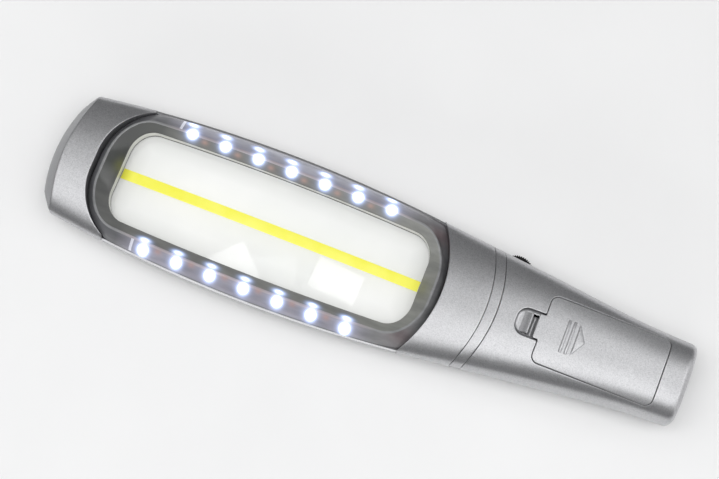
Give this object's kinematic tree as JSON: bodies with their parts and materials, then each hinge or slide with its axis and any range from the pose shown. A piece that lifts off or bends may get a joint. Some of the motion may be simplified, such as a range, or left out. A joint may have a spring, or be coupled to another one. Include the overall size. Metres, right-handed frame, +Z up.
{
  "type": "lit bar magnifier",
  "caption": "Hand-held bar-shaped reading magnifier with lit rows of diodes, a yellow reading line, a thumbwheel and a battery handle.",
  "frame": {"origin": "centre of the bounding box on the flat of the back shell, which rests on the table", "axes": "+X along the body from the head to the handle's end, +Y to the thumbwheel's side, +Z up, out of the page side"},
  "size_m": [0.2812, 0.0668, 0.0252],
  "materials": {
    "silver_plastic": "silver metallic paint with a fine sparkle over moulded plastic",
    "smoke_clear": "polished smoke-clear plastic",
    "lens_acrylic": "polished clear acrylic",
    "yellow_film": "translucent yellow under gloss",
    "white_board": "white solder mask",
    "led_white": "lit white emitter",
    "resistor": "brown chip resistor",
    "wire_red": "red insulation",
    "wire_black": "black insulation",
    "green_board": "green solder mask",
    "dark_component": "moulded black component",
    "pot_body": "dark blue potentiometer housing",
    "shaft_metal": "turned metal shaft",
    "black_wheel": "black toothed thumbwheel",
    "tray_plastic": "dark grey moulding",
    "cell_jacket": "plain printed cell jacket with metal ends",
    "contact_metal": "nickel-plated steel",
    "screw_steel": "plated steel"
  },
  "bodies": {
    "case": {"back_shell": "silver_plastic", "head_end_cap": "silver_plastic", "neck_cover": "silver_plastic", "neck_band": "silver_plastic", "handle_front_shell": "silver_plastic", "led_cover": "smoke_clear", "lens": "lens_acrylic", "reading_line": "yellow_film", "led_board_left": "white_board", "led_board_right": "white_board", "leds_left": "led_white", "leds_right": "led_white", "led_resistors": "resistor", "wire_red": "wire_red", "wire_black": "wire_black", "control_board": "green_board", "driver_parts": "dark_component", "potentiometer_body": "pot_body", "battery_tray": "tray_plastic", "cell_lower_left": "cell_jacket", "cell_lower_right": "cell_jacket", "cell_upper": "cell_jacket", "cell_springs": "contact_metal", "contact_plates": "contact_metal", "shell_screws": "screw_steel"},
    "dimmer": {"thumbwheel": "black_wheel", "potentiometer_shaft": "shaft_metal"},
    "door": {"battery_door": "silver_plastic", "latch_spring": "silver_plastic"},
    "latch": {"door_latch": "silver_plastic"}
  },
  "joints": [
    {"name": "dimmer_turn", "type": "hinge", "parent": "case", "child": "dimmer", "pos_m": [0.0606, 0.02023, 0.0122], "axis": [0, 0, 1], "range_deg": [-280, 0]},
    {"name": "door_swing", "type": "hinge", "parent": "case", "child": "door", "pos_m": [0.1291, 0, 0.0251], "axis": [0, 1, 0], "range_deg": [0, 60]},
    {"name": "latch_press", "type": "slide", "parent": "door", "child": "latch", "axis": [1, 0, 0], "range_m": [0, 0.0012], "stiffness_N_per_m": 800, "springref_m": -0.0005, "deforming": ["latch_spring"]}
  ]
}
